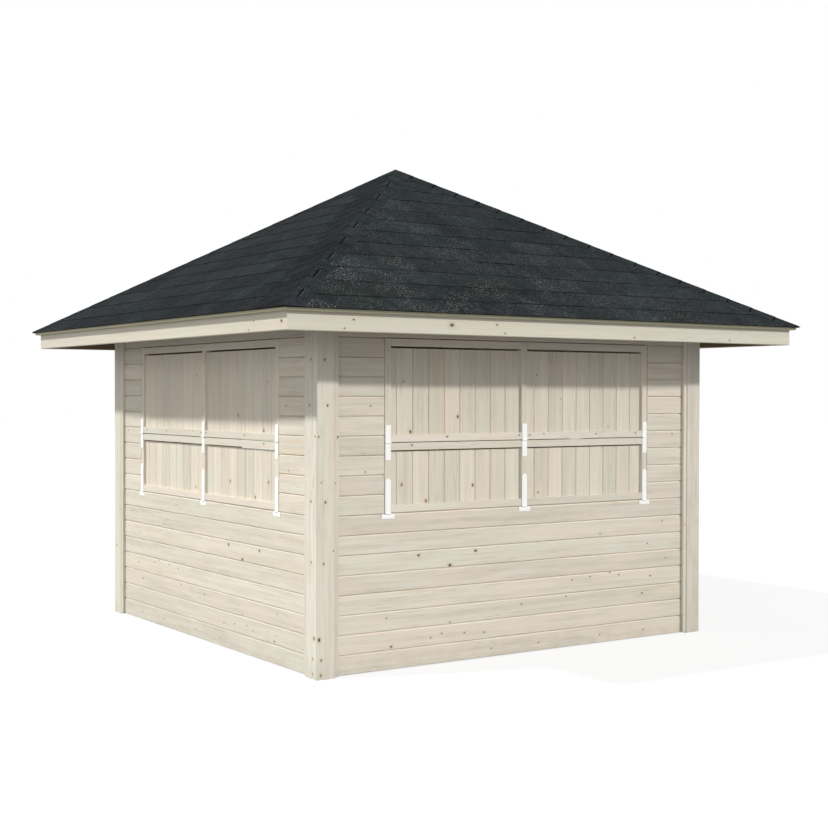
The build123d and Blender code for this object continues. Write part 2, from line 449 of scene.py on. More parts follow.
def wood(name, pale, late, contrast=1.0, soil=0.25):
    """Planed bare spruce: streaks, growth lines that bend round knots, and a tone for each plank."""
    n = Nodes(bpy.data.materials.new(name))
    grain = n.attribute("grain")
    bright, hue, heart = n.split(n.attribute("tone"))
    size, kind, _ = n.split(n.attribute("knot_form"))

    # The knot, by the distance from it in knot radii
    away = n.vector("SUBTRACT", grain, n.attribute("knot"))
    away = n.vector("MULTIPLY", away, knot_stretch_shares)
    far = n.math("DIVIDE", n.vector("LENGTH", away), n.math("MAXIMUM", size, smallest_knot))
    core = n.ramp(far, 0.5, 1.1, 1.0, 0.0)
    halo = n.ramp(far, 0.8, 2.8, 1.0, 0.0)
    near = n.ramp(far, 0.6, 5.0, 0.6, 0.0)

    # The grain, pushed aside by the knot
    along, across, deep = n.split(grain)
    _, off, _ = n.split(away)
    across = n.math("SUBTRACT", across, n.math("MULTIPLY", off, near))
    bent = n.join(along, across, deep)

    def streaks(stretch, spread, detail, roughness=0.5):
        """Noise drawn out along the grain."""
        return n.noise(n.vector("MULTIPLY", bent, (stretch, spread, spread)), 1.0, detail, roughness)

    wander = streaks(1.1, 7.0, 2.0)
    lines = n.math("ADD", n.math("MULTIPLY", across, line_count), n.math("MULTIPLY", wander, line_wander))
    lines = n.math("MULTIPLY_ADD", n.math("SINE", lines), 0.5, 0.5)
    lines = n.math("POWER", lines, 2.5)
    fine = streaks(5.0, 330.0, 3.0, 0.6)
    broad = streaks(1.3, 34.0, 4.0, 0.55)
    flow = n.math("MULTIPLY_ADD", n.ramp(broad, 0.3, 0.72), 0.5, n.math("MULTIPLY", lines, 0.28))
    flow = n.math("MULTIPLY_ADD", n.ramp(fine, 0.3, 0.75), 0.3, flow)
    colour = n.mix(n.math("MULTIPLY", flow, contrast), pale, late)
    dash = n.ramp(streaks(9.0, 150.0, 2.0), 0.56, 0.68, 0.0, 0.6)
    figure = n.ramp(streaks(1.6, 11.0, 2.0), 0.46, 0.62)
    colour = n.mix(n.math("MULTIPLY", dash, figure), colour, tinted(late, dash_shares))

    # Heartwood, hue and brightness
    warm = n.ramp(streaks(0.6, 15.0, 3.0, 0.6), 0.54, 0.74)
    warm = n.math("MULTIPLY", warm, n.math("MULTIPLY_ADD", heart, 0.5, 0.08))
    colour = n.mix(warm, colour, tinted(pale, warm_shares))
    hue = n.math("ADD", hue, n.ramp(streaks(3.0, 12.0, 2.0), 0.3, 0.7, -0.5, 0.5))
    colour = n.mix(n.ramp(hue, -0.2, 0.5, 0.36, 0.0), colour, tinted(pale, green_shares))
    colour = n.mix(n.ramp(hue, 0.5, 1.2, 0.0, 0.42), colour, tinted(pale, rosy_shares))
    colour = n.shaded(colour, n.math("MULTIPLY_ADD", n.math("MAXIMUM", bright, 0.0), 0.11, 0.945))

    # The knot's ring and eye, soil splashed up at the foot, and the brown painted shade on backs under the
    # roof
    colour = n.mix(n.math("MULTIPLY", halo, 0.5), colour, tinted(pale, ring_shares))
    eye = n.mix(n.ramp(kind, 0.62, 0.78), dark_knot, red_knot)
    colour = n.mix(n.math("MULTIPLY", core, 0.93), colour, eye)
    place = n.position()
    _, _, height = n.split(place)
    splash = n.ramp(n.noise(place, 9.0, 4.0), 0.35, 0.7)
    splash = n.math("MULTIPLY", n.ramp(height, 0.0, soil_height, soil, 0.0), splash)
    colour = n.mix(splash, colour, tinted(pale, soil_shares))
    brown = n.mix(flow, pale_shade_brown, dark_shade_brown)
    colour = n.mix(n.ramp(bright, -2.0, -1.0, 1.0, 0.0), colour, brown)

    rough = n.math("MULTIPLY_ADD", broad, 0.2, 0.56)
    relief = n.math("ADD", n.math("MULTIPLY", fine, 0.7), n.math("MULTIPLY", lines, 0.3))
    return n.finish(Base_Color=colour, Roughness=rough, Normal=n.bump(relief, 0.25, 0.0006),
                    Specular_IOR_Level=0.3)


dark_granule, pale_granule = (0.0048, 0.0062, 0.0072), (0.0300, 0.0360, 0.0398)
green_granule, violet_granule = (0.0145, 0.0205, 0.0188), (0.0195, 0.0188, 0.0235)
chip = (0.215, 0.212, 0.18)


def felt(name):
    """Charcoal mineral shingle: granules, pale chips and a tone for each tab."""
    n = Nodes(bpy.data.materials.new(name))
    bright, hue, fleck = n.split(n.attribute("tone"))
    place = n.position()
    granule = n.noise(place, 85.0, 3.0, 0.75)
    patch = n.noise(place, 11.0, 3.0, 0.6)
    cloud = n.noise(place, 2.6, 2.0, 0.5)
    colour = n.mix(n.ramp(granule, 0.32, 0.68), dark_granule, pale_granule)
    tint = n.math("ADD", hue, n.ramp(patch, 0.3, 0.7, -0.3, 0.3))
    colour = n.mix(n.ramp(tint, 0.1, 0.4, 0.5, 0.0), colour, green_granule)
    colour = n.mix(n.ramp(tint, 0.7, 1.1, 0.0, 0.45), colour, violet_granule)
    shade = n.math("MAXIMUM", n.math("MULTIPLY_ADD", bright, 0.7, 0.65), 0.02)
    shade = n.math("MULTIPLY", shade, n.ramp(patch, 0.25, 0.75, 0.8, 1.2))
    shade = n.math("MULTIPLY", shade, n.ramp(cloud, 0.25, 0.75, 0.88, 1.12))
    colour = n.shaded(colour, shade)
    chips = n.ramp(n.noise(place, 125.0, 1.0, 0.6), 0.615, 0.69)
    chips = n.math("MULTIPLY", chips, n.ramp(n.noise(place, 5.0, 3.0), 0.34, 0.66))
    colour = n.mix(n.math("MULTIPLY", chips, fleck), colour, chip)
    return n.finish(Base_Color=colour, Roughness=n.ramp(granule, 0.2, 0.8, 0.95, 0.8),
                    Normal=n.bump(granule, 0.5, 0.002), Specular_IOR_Level=0.03)


dull_zinc, bright_zinc, marked_zinc = (0.97, 0.96, 0.93), (1.0, 0.99, 0.97), (0.80, 0.79, 0.76)


def zinc(name):
    """Bright zinc plate with a faint spangle and handling marks."""
    n = Nodes(bpy.data.materials.new(name))
    place = n.position()
    spangle = n.noise(place, 160.0, 2.0)
    marks = n.noise(place, 34.0, 4.0, 0.6)
    colour = n.mix(n.ramp(spangle, 0.3, 0.7), dull_zinc, bright_zinc)
    colour = n.mix(n.ramp(marks, 0.64, 0.85, 0.0, 0.3), colour, marked_zinc)
    return n.finish(Base_Color=colour, Metallic=0.0, Roughness=n.ramp(marks, 0.3, 0.8, 0.34, 0.52),
                    Normal=n.bump(spangle, 0.12, 0.0003))


cream = (0.775, 0.735, 0.640)
deal = (0.610, 0.545, 0.430)
post_wood = wood("post_spruce", (0.762, 0.737, 0.652), deal)
wall_wood = wood("wall_spruce", cream, deal, 1.2)
frame_wood = wood("frame_spruce", cream, deal, 0.85, 0.0)
pane_wood = wood("pane_spruce", (0.760, 0.715, 0.615), deal, 1.0, 0.0)
fascia_wood = wood("fascia_spruce", (0.715, 0.678, 0.575), deal, 0.9, 0.0)
deck_wood = wood("deck_spruce", (0.560, 0.535, 0.365), (0.46, 0.43, 0.285), 0.8, 0.0)
# The roof's timbers, and the wall studs with them, are a darker brown: painted shade under the roof
roof_wood = wood("roof_spruce", (0.42, 0.33, 0.22), (0.30, 0.23, 0.14), 1.0, 0.0)
felt_black = felt("charcoal_shingle")
zinc_plate = zinc("zinc_plate")


# Knots: place along the wall, height, radius and kind, as seen on the front

wall_knots = [
    (-0.785, 0.661, 0.008, 0.1), (-0.367, 0.663, 0.0088, 0.2), (-0.558, 0.5875, 0.0100, 0.0),
    (0.633, 0.713, 0.0042, 0.1), (1.048, 0.625, 0.0042, 0.3), (1.215, 0.519, 0.0042, 0.1),
    (0.719, 0.455, 0.0055, 0.2), (0.400, 0.429, 0.0045, 0.1), (0.550, 0.440, 0.0035, 0.3),
    (0.796, 0.435, 0.0035, 0.2), (1.077, 0.408, 0.0055, 0.1), (0.350, 0.327, 0.0032, 0.1),
    (-0.012, 0.308, 0.005, 0.7), (1.002, 0.298, 0.006, 0.5), (-1.011, 0.308, 0.0045, 0.75),
    (-0.617, 0.183, 0.0045, 0.1), (-0.698, 0.163, 0.0032, 0.2), (-0.450, 0.171, 0.0035, 0.1),
    (-0.300, 0.160, 0.0045, 0.3), (-0.977, 0.138, 0.007, 0.1), (-0.246, 0.056, 0.0032, 0.2),
    (0.125, 0.056, 0.0035, 0.1), (0.633, 0.056, 0.003, 0.3), (1.013, 0.054, 0.0032, 0.1),
    (-0.558, 0.244, 0.003, 0.1), (-1.123, 1.258, 0.0042, 0.1), (-1.156, 1.165, 0.0038, 0.2),
    (-1.121, 1.546, 0.0038, 0.4), (1.270, 1.350, 0.0035, 0.2), (1.183, 0.768, 0.003, 0.8),
]
pane_knots = [
    (-0.474, 1.479, 0.0082, 0.1), (-0.817, 1.392, 0.0085, 0.5), (-0.866, 1.688, 0.0045, 0.2),
    (0.133, 1.735, 0.0045, 0.1), (-0.361, 1.062, 0.008, 0.2), (-0.878, 1.082, 0.0085, 0.9),
    (-0.705, 0.980, 0.0092, 0.8), (0.148, 0.998, 0.0062, 0.85), (-0.855, 0.968, 0.0038, 0.3),
    (-0.574, 1.090, 0.0045, 0.6), (0.730, 1.405, 0.004, 0.7), (0.330, 1.585, 0.0032, 0.4),
]
rail_knots = [
    (-0.588, 1.360, 0.0055, 0.2), (-0.842, 1.3135, 0.0058, 0.2), (0.587, 1.360, 0.0045, 0.2),
    (-0.980, 1.362, 0.007, 0.2), (0.042, 1.361, 0.005, 0.2), (0.930, 1.360, 0.005, 0.2),
    (-0.040, 1.361, 0.005, 0.2), (0.155, 1.367, 0.004, 0.2),
]
fascia_knots = [
    (-1.510, 2.0125, 0.0055, 0.1), (-0.865, 2.002, 0.012, 0.68), (-0.548, 2.0125, 0.0055, 0.2),
    (-0.490, 1.9646, 0.0045, 0.1), (-1.567, 1.9646, 0.0045, 0.3), (0.515, 1.9646, 0.0055, 0.75),
    (1.344, 1.966, 0.0045, 0.2),
]
left_fascia_knots = [
    (1.854, 1.997, 0.009, 0.4), (1.537, 2.009, 0.005, 0.1), (1.478, 1.962, 0.0045, 0.2),
]

# How far the pane boards with their knots, and the wall's knots, stand off the middle of a hatch
pane_shift = {"front": -0.026, "right": 0.004, "left": -0.004}
wall_shift = {"front": -0.008}
knot_margin, least_knot = 0.012, 0.0045


def as_seen(knots, side, shift=0.0):
    """The front's knots, carried to a side: the left wall is the front wall's mirror image."""
    mirror = -1 if side == "left" else 1
    return [(mirror * k[0] + opening_middle[side] + shift, *k[1:]) for k in knots]


def in_board(knots, left, right, foot, top):
    """The knots that fall on one board, measured from its left end and its middle height."""
    found = [k for k in knots if left + knot_margin < k[0] < right - knot_margin and foot <= k[1] < top]
    return [(x - left, z - (foot + top) / 2, 0.0, max(r, least_knot), kind) for x, z, r, kind in found]


# Walls

upper_vee, left_upper_vee, low_vee = 0.0080, 0.0068, 0.0030
joint_gap, board_tongue = 0.0017, 0.007
ripped_share = 0.9
most_sunk = 0.0006
wall_knot_share, post_knot_share, batten_knot_share = 0.35, 0.3, 0.25
post_ease, batten_ease, timber_ease = 0.004, 0.002, 0.002


def wall_board(timbers, side, left, right, foot, top, knots):
    """One horizontal board of a wall. A ripped one has lost its tongue."""
    tongue = board_tongue if top - foot > ripped_share * course else 0
    vee = left_upper_vee if side == "left" else upper_vee
    section = tongued(top - foot, wall_depth, vee, joint_gap, tongue, low_vee)
    place = level(left, -wall_face + timbers.rng.uniform(0.0, most_sunk), (foot + top) / 2)
    own = in_board(knots, left, right, foot, top)
    if not knots:
        own = timbers.scatter(right - left, course, wall_knot_share)
    # All walls but the left get the painted highlight on their upper vees
    timbers.plank(place, right - left, section, own, highlit_vee=side != "left")


for number, side in enumerate(turns):
    boards = Timbers(seeds["wall"] + number)
    has_hatch = side in hatch_sides
    knots = as_seen(wall_knots, side, wall_shift.get(side, 0.0)) if has_hatch else []
    middle = opening_middle.get(side, 0.0)
    half = opening_half if has_hatch else door_half
    for row in range(courses_to_head):
        foot = wall_foot + row * course
        if has_hatch and foot + course / 2 < sill:
            wall_board(boards, side, -post_inner, post_inner, foot, foot + course, knots)
        else:
            wall_board(boards, side, -post_inner, middle - half, foot, foot + course, knots)
            wall_board(boards, side, middle + half, post_inner, foot, foot + course, knots)
    nodes = [side + "_wall_sides"] + ([side + "_wall_lower"] if has_hatch else [])
    boards.object(side + "_wall_planks", side, wall_wood, "wall_boards", *nodes)
    upper = Timbers(seeds["header"] + number)
    wall_board(upper, side, -post_inner, post_inner, head, head + course, [])
    wall_board(upper, side, -post_inner, post_inner, head + course, wall_top, [])
    upper.object(side + "_header_planks", side, wall_wood, "wall_boards", "wall_headers")

# Knots of the front post: height, place across, depth behind the face, radius and kind
side_face = post_width / 2
post_knots = [
    (0.228, 0.043, 0.0, 0.0095, 0.3), (0.234, side_face, -0.028, 0.009, 0.3),
    (0.111, 0.029, 0.0, 0.007, 0.85), (0.117, side_face, -0.042, 0.006, 0.7),
    (0.026, 0.032, 0.0, 0.0075, 0.85), (0.031, side_face, -0.043, 0.0065, 0.85),
    (0.656, 0.014, 0.0, 0.0055, 0.1), (0.662, side_face, -0.060, 0.0055, 0.1),
    (0.724, -0.049, 0.0, 0.0035, 0.2), (1.003, 0.003, 0.0, 0.007, 0.2),
    (1.006, side_face, -0.064, 0.0065, 0.2), (1.115, 0.031, 0.0, 0.0035, 0.3),
    (1.373, 0.046, 0.0, 0.005, 0.2), (1.375, side_face, -0.020, 0.005, 0.2),
    (1.549, -0.011, 0.0, 0.0065, 0.1), (1.551, side_face, -0.080, 0.006, 0.1),
    (1.807, 0.008, 0.0, 0.006, 0.3), (1.809, side_face, -0.064, 0.006, 0.3),
]
post_section = eased(post_width, post_width, post_ease)
for number, side in enumerate(turns):
    timbers = Timbers(seeds["post"] + number)
    own = post_knots if side == "front" else timbers.scatter(post_top, post_width, post_knot_share)
    middle = -(post_face + post_inner) / 2
    timbers.plank(upright(middle, -post_face, 0), post_top, post_section, own)
    timbers.object("post_timber_" + side, side, post_wood, "posts", "corner_post_" + side)

batten_section = eased(batten_width, batten_depth, batten_ease)
batten_length = wall_top - wall_foot
for number, side in enumerate(turns):
    timbers = Timbers(seeds["batten"] + number)
    for x in (-1, 1):
        place = upright(x * (post_inner - batten_width / 2), -wall_face - batten_depth, wall_foot)
        own = timbers.scatter(batten_length, batten_width, batten_knot_share)
        timbers.plank(place, batten_length, batten_section, own)
    timbers.object("batten_timbers_" + side, side, post_wood, "posts", "corner_battens")
eased_copy("stud_timbers", "jamb_studs", timber_ease, roof_wood, "roof_timber", seeds["stud"])


# Hatches

leaf_ease, stile_knot_share, rail_margin = 0.0018, 0.3, 0.01
pane_pitch, pane_vee, pane_joint, pane_tongue = 0.1145, 0.0036, 0.0010, 0.006
pane_gap = {"lower_leaf": 0.0065, "upper_leaf": 0.012}
pane_tuck, pane_lap, least_pane = 0.004, 0.006, 0.02
pane_margin, end_margin, pane_knot_share = 0.006, 0.02, 0.15


def leaf(side, name, seed):
    """Makes a leaf's rails and stiles, each its own timber, and gives the leaf's box."""
    node = side + "_hatch_" + name
    low, high = local_box(side, node)
    timbers = Timbers(seed)
    front = low.y
    middle = (low.x + high.x) / 2
    section = eased(member, leaf_depth, leaf_ease)
    knots = as_seen(rail_knots, side)
    for x in (low.x + member / 2, middle, high.x - member / 2):
        own = timbers.scatter(high.z - low.z, member, stile_knot_share)
        timbers.plank(upright(x, front, low.z), high.z - low.z, section, own)
    for z in (low.z + member / 2, high.z - member / 2):
        for left, right in ((low.x + member, middle - member / 2), (middle + member / 2, high.x - member)):
            own = [(x - left, height - z, 0.0, radius, kind) for x, height, radius, kind in knots
                   if abs(height - z) < member / 2 and left + rail_margin < x < right - rail_margin]
            timbers.plank(level(left, front, z), right - left, section, own)
    timbers.object(side + "_" + name + "_timbers", side, frame_wood, "hatch_frames", node)
    return low, high


def pane_edges(first, last, shift):
    """The edges of the boards between two stiles, measured from the middle of the hatch."""
    reach = math.ceil(leaf_half / pane_pitch)
    joints = [k * pane_pitch + shift for k in range(-reach, reach + 1)]
    inner = [j for j in joints if first + least_pane < j < last - least_pane]
    return [first - pane_tuck] + inner + [last + pane_tuck]


def pane_board(panes, side, left, right, foot, top, knots):
    """One upright board of a leaf."""
    centre = (left + right) / 2
    section = tongued(right - left, pane_depth, pane_vee, pane_joint, pane_tongue)
    own = [(z - foot, centre - x, 0.0, r, kind) for x, z, r, kind in knots
           if left + pane_margin < x < right - pane_margin and foot + end_margin < z < top - end_margin]
    if side == "right" and not own:
        own = panes.scatter(top - foot, right - left, pane_knot_share)
    panes.plank(upright(centre, -wall_face + recess, foot), top - foot, section, own)


for number, side in enumerate(hatch_sides):
    panes = Timbers(seeds["pane"] + number)
    knots = as_seen(pane_knots, side, pane_shift[side])
    middle = opening_middle[side]
    for name in ("lower_leaf", "upper_leaf"):
        low, high = leaf(side, name, seeds["leaf"] + 10 * number)
        foot, top = low.z + member - pane_lap, high.z - member - pane_gap[name]
        for first, last in ((-leaf_half + member, -member / 2), (member / 2, leaf_half - member)):
            edges = pane_edges(first, last, pane_shift[side])
            for a, b in zip(edges, edges[1:]):
                pane_board(panes, side, middle + a, middle + b, foot, top, knots)
    panes.object(side + "_hatch_planks", side, pane_wood, "hatch_boards", side + "_hatch_boards")


# Hinges and their screws

strap_thick, plate_ease = 0.003, 0.0007
stile_place = leaf_half - member / 2
strap_screws = ((-0.009, 0.03), (0.009, 0.056), (-0.009, 0.082))
tee_screws = ((-0.008, 0.035), (0.008, 0.085), (-0.008, 0.135), (0.0, 0.18))
cross_screws, cross_drop = (-0.034, 0.0, 0.034), 0.018
screw_radius, screw_height, screw_points = 0.0036, 0.0014, 16
dome_shares = ((1.0, 0.0), (0.92, 0.5), (0.62, 0.9), (0.36, 1.0))
cut_share, cut_lift_share, web_lift_share = 0.2, 0.15, 0.75


def screw_head(bm, place):
    """A low round screw head with a cross cut in it."""
    def ring(share, lifts):
        row = []
        for k, lift in enumerate(lifts):
            angle = 2 * math.pi * k / screw_points
            x, y = screw_radius * share * math.cos(angle), screw_radius * share * math.sin(angle)
            row.append(bm.verts.new(place @ Vector((x, y, screw_height * lift))))
        return row

    rings = [ring(share, [lift] * screw_points) for share, lift in dome_shares]
    lifts = [web_lift_share if k % 4 else cut_lift_share for k in range(screw_points)]
    rings.append(ring(cut_share, lifts))
    for a, b in zip(rings, rings[1:]):
        for k in range(screw_points):
            j = (k + 1) % screw_points
            bm.faces.new((a[k], a[j], b[j], b[k]))
    bm.faces.new(rings[-1])


for side in hatch_sides:
    eased_copy(side + "_hinge_plates", side + "_hatch_hinges", plate_ease, zinc_plate, "hinges")
    bm = bmesh.new()
    for x in (-stile_place, 0, stile_place):
        x += opening_middle[side]
        spots = [(x + dx, leaf_joint + dz) for dx, dz in strap_screws]
        spots += [(x - dx, leaf_joint - dz) for dx, dz in strap_screws]
        spots += [(x + dx, sill + dz) for dx, dz in tee_screws]
        spots += [(x + dx, sill - cross_drop) for dx in cross_screws]
        for across, up in spots:
            screw_head(bm, turn(side) @ level(across, -wall_face - strap_thick, up))
    mesh = bpy.data.meshes.new(side + "_hinge_screws")
    bm.to_mesh(mesh)
    bm.free()
    piece(side + "_hinge_screws", mesh, zinc_plate, "hinges")


# Roof: eaves boards, boarding, frame

fascia_ease, fascia_knot_share = 0.004, 0.45
plank_width, deck_vee, deck_gap = 0.095, 0.0015, 0.001
deck_bevel_share = 0.36
rafter_ease = 0.0015

fascia_top = fascia_high.z - fascia_depth * slope
fascia_middle = (fascia_low.z + fascia_top) / 2
fascia_length = 2 * fascia_face
low, high, ease = fascia_low.z - fascia_middle, fascia_top - fascia_middle, fascia_ease
fascia_section = [(low + ease, -fascia_depth), (high + fascia_depth * slope, -fascia_depth), (high, 0),
                  (low + ease, 0), (low, -ease), (low, -fascia_depth + ease)]
for number, side in enumerate(turns):
    timbers = Timbers(seeds["fascia"] + number)
    seen = left_fascia_knots if side == "left" else fascia_knots
    own = [(x + fascia_face, z - fascia_middle, 0.0, r, kind) for x, z, r, kind in seen]
    if side in ("back", "right"):
        own = timbers.scatter(fascia_length, high - low, fascia_knot_share)
    # The fascia's inner face is painted brown: painted shade
    timbers.plank(level(-fascia_face, -fascia_face, fascia_middle), fascia_length, fascia_section, own,
                  start=lambda across, out: -out, end=lambda across, out: fascia_length + out,
                  painted_shade_back=True)
    timbers.object(side + "_fascia_board", side, fascia_wood, "fascia", side + "_fascia")


def on_slope(reach, height):
    """A placement on the front slope: along the eave, up the slope, and out of it."""
    return axes((1, 0, 0), (0, run, rise), (0, -rise, run), (0, -reach, height))


def eave_section(low):
    """The lowest roof board's section: plumb at the eave, with its lower edge bevelled."""
    plumb = (1 - deck_bevel_share) * deck_depth
    lip = low - deck_depth * slope
    return [(low - plumb * slope, -plumb), (lip + deck_bevel_share * deck_depth, -deck_depth),
            (-low, -deck_depth), (-low, 0), (low, 0)]


for number, side in enumerate(turns):
    timbers = Timbers(seeds["deck"] + number)
    length = deck_reach / run
    for row in range(math.ceil(length / plank_width)):
        foot, top = row * plank_width, min((row + 1) * plank_width, length)
        centre = (foot + top) / 2
        section = tongued(top - foot, deck_depth, deck_vee, deck_gap, 0)
        if row == 0:
            section = eave_section(foot - centre)
        place = on_slope(deck_reach, deck_eave) @ Matrix.Translation((0, centre, 0))

        def hip_cut(across, out):
            return max(0.0, deck_reach - (across + centre) * run + out * rise)

        # The boards' undersides are painted brown: painted shade
        timbers.plank(place, deck_reach, section, start=lambda across, out: -hip_cut(across, out),
                      end=hip_cut, painted_shade_back=True)
    timbers.object(side + "_roof_planks", side, deck_wood, "roof_boards", side + "_roof_boards")
    eased_copy(side + "_plate_timber", side + "_wall_plate", timber_ease, roof_wood, "roof_timber",
               seeds["plate"] + number)
eased_copy("king_post_timber", "king_post", timber_ease, roof_wood, "roof_timber", seeds["king_post"])
eased_copy("hip_timbers", "hip_rafters", rafter_ease, roof_wood, "roof_timber", seeds["hip"])
eased_copy("rafter_timbers", "common_rafters", rafter_ease, roof_wood, "roof_timber", seeds["rafter"])


# Shingles: sizes of the tabs, the hip caps and the strips on them: black strips are painted shadow, pale
# strips lie beside them

slope_length = cover_reach / run
hip_stretch = math.sqrt(1 + run * run)
hip_length = slope_length * hip_stretch
touch = 1e-6
first_exposure, exposure, tab_lap = 0.160, 0.190, 0.03
tab_width, tab_slit, felt_thick = 1 / 3, 0.002, 0.0042
tab_steps, tab_dip, tab_wave, row_jitter = 8, 0.0015, 0.0012, 0.012
first_lift, tab_lift, head_lift = 0.0026, 0.0050, 0.0024
least_curl, most_curl = -0.0004, 0.0012
sheet_foot, sheet_layers = 0.004, (0.0004, 0.0020)
rim_height, cap_rim = 0.004, 0.008
cap_exposure, cap_lap, cap_thick = 0.168, 0.045, 0.003
cap_half, cap_wide, cap_jitter, cap_overhang = 0.095, 0.25, 0.006, 0.09
cap_lift, cap_head_drop, cap_edge_drop, cap_thin_share = 0.0098, 0.0020, 0.0022, 0.5
# Black strips on the caps are painted shadow: the shadow in a slit along the hip, and under a cap's lower
# edge. Pale strips lie beside the slits' shadow.
shadow_strip_start, shadow_strip_width, shadow_strip_length, shadow_strip_thick = 0.022, 0.008, 0.138, 0.0008
shadow_strip_least, shadow_strip_inset, shadow_strip_reach_share = 0.02, 0.004, 0.9
pale_strip_near, pale_strip_far = 0.004, 0.009

# Tones of the shingles: brightness, hue and pale chips
# The tabs' lower rims are darker: bare bitumen, and painted shade for the shadow line under each course
bare, most_bare = -0.5, 0.3
bare_felt, shadow_strip_tone, pale_strip_tone = (bare, 0.5, 0.0), (-2.0, 0.5, 0.0), (1.95, 0.5, 0.0)
# The left slope's tabs and caps are darker than the other slopes': painted shade
painted_slope_shade = {"front": 0.35, "right": 0.35, "back": 0.35, "left": 0.15}
tab_darker, tab_range = 0.12, 0.54
cap_darker, cap_range = 0.4, 0.3
least_fleck, most_fleck, plain_fleck = 0.18, 1.25, 0.1
fleck_start, fleck_edge, fleck_along, fleck_up = 1.15, 0.8, 0.36, 0.45


class Cover:
    """Thin tabs laid on one slope. Each is an outline in (along the eave, up the slope)."""

    def __init__(self, seed):
        self.rng = random.Random(seed)
        self.points, self.faces, self.tone = [], [], []

    def tab(self, outline, lift, tone, hip=False, foot=None, rim_bitumen_and_shade=bare):
        """A tab over its outline. lift gives underside and top at a place. Corners on a hip are mitred.
        foot tells the points of the lower edge, whose rim is darker: bare bitumen, and painted shade for
        the shadow line under the course."""
        count = len(outline)
        if count < 3:
            return
        first = len(self.points)
        for layer in (0, 1):
            for x, d in outline:
                out = lift(x, d)[layer]
                if hip and abs(x) < touch and abs(d - slope_length) < touch:
                    d += out * slope
                elif hip and abs(abs(x) - (cover_reach - d * run)) < touch:
                    x += math.copysign(out * rise, x)
                self.points.append(Vector((x, d, out)))
        under = [first + k for k in range(count)]
        over = [first + count + k for k in range(count)]
        self._face(under[::-1], tone)
        self._face(over, tone)
        low = [bool(foot) and foot(*p) for p in outline]
        for k in range(count):
            j = (k + 1) % count
            rim_tone = (rim_bitumen_and_shade, tone[1], 0.0) if low[k] and low[j] else tone
            self._face((under[k], under[j], over[j], over[k]), rim_tone)

    def _face(self, corners, tone):
        self.faces.append(corners)
        self.tone.append(tone)

    def object(self, name, side, *nodes):
        """Makes the piece on its slope."""
        place = turn(side) @ on_slope(cover_reach, deck_peak - cover_reach * slope)
        mesh = bpy.data.meshes.new(name)
        mesh.from_pydata([place @ p for p in self.points], [], self.faces)
        stamp(mesh, "tone", "FACE", self.tone)
        piece(name, mesh, felt_black, "shingles", *nodes)


def half_plane(outline, nx, nd, limit):
    """Keeps the part of an outline where nx * x + nd * d <= limit."""
    def value(p):
        return nx * p[0] + nd * p[1] - limit

    kept = []
    for k, b in enumerate(outline):
        a = outline[k - 1]
        if (value(a) <= 0) != (value(b) <= 0):
            share = value(a) / (value(a) - value(b))
            kept.append((a[0] + (b[0] - a[0]) * share, a[1] + (b[1] - a[1]) * share))
        if value(b) <= 0:
            kept.append(b)
    return kept


def on_triangle(outline):
    """The part of an outline on the slope, between its hips and above the eave."""
    outline = half_plane(outline, 1, run, cover_reach)
    outline = half_plane(outline, -1, run, cover_reach)
    return half_plane(outline, 0, -1, 0)


def facing_up(outline):
    """The outline, turned so that its face looks out of the slope."""
    area = sum(a[0] * b[1] - b[0] * a[1] for a, b in zip(outline, outline[1:] + outline[:1]))
    return outline if area > 0 else outline[::-1]


def fleck_at(side, x, d):
    """How strongly pale chips show: most on the lower left of the front."""
    if side != "front":
        return plain_fleck
    return min(most_fleck, max(least_fleck, fleck_start - fleck_along * (x + fleck_edge) - fleck_up * d))


def shingle_tab(cover, side, row, left, right, foot, top):
    """One tab. Above the first row its lower edge waves a little and its lift varies."""
    rng = cover.rng
    dip = rng.uniform(-tab_dip, tab_dip) if row else 0
    wave = [rng.uniform(-tab_wave, tab_wave) if row else 0 for _ in range(tab_steps + 1)]
    lower = [(left + (right - left) * k / tab_steps, foot + dip + wave[k]) for k in range(tab_steps + 1)]
    outline = on_triangle(lower + [(right, top), (left, top)])
    fleck = fleck_at(side, (left + right) / 2, foot) * rng.uniform(0.6, 1.15)
    low = tab_lift + rng.uniform(least_curl, most_curl) if row else first_lift

    def lift(x, d):
        under = low + (head_lift - low) * (d - foot) / (top - foot)
        return under, under + felt_thick

    tone = (painted_slope_shade[side] - tab_darker + tab_range * rng.random(), rng.random(), fleck)
    rim_bitumen_and_shade = rng.uniform(bare, most_bare) if row else bare
    cover.tab(outline, lift, tone, foot=lambda x, d: d < foot + rim_height, rim_bitumen_and_shade=rim_bitumen_and_shade)


def slope_tabs(side, number):
    """The rows of tabs on one slope, over a sheet of felt."""
    cover = Cover(seeds["shingle"] + number)
    sheet = [(-cover_reach, sheet_foot), (cover_reach, sheet_foot), (0, slope_length)]
    cover.tab(on_triangle(sheet), lambda x, d: sheet_layers, bare_felt)
    edges = [0.0, first_exposure]
    while edges[-1] < slope_length:
        edges.append(edges[-1] + exposure)
    for row, (foot, top) in enumerate(zip(edges, edges[1:])):
        top = min(top + tab_lap, slope_length)
        x = -cover_reach - tab_width + (row % 2) * tab_width / 2
        x += cover.rng.uniform(-row_jitter, row_jitter)
        while x < cover_reach:
            shingle_tab(cover, side, row, x + tab_slit / 2, x + tab_width - tab_slit / 2, foot, top)
            x += tab_width
    cover.object(side + "_shingle_tabs", side, side + "_shingles")


def from_hip(x, d):
    """How far up the hip a place on a slope lies, and how far away from the hip."""
    side_way = cover_reach - abs(x)
    return (side_way * run + d) / hip_stretch, (side_way - d * run) / hip_stretch


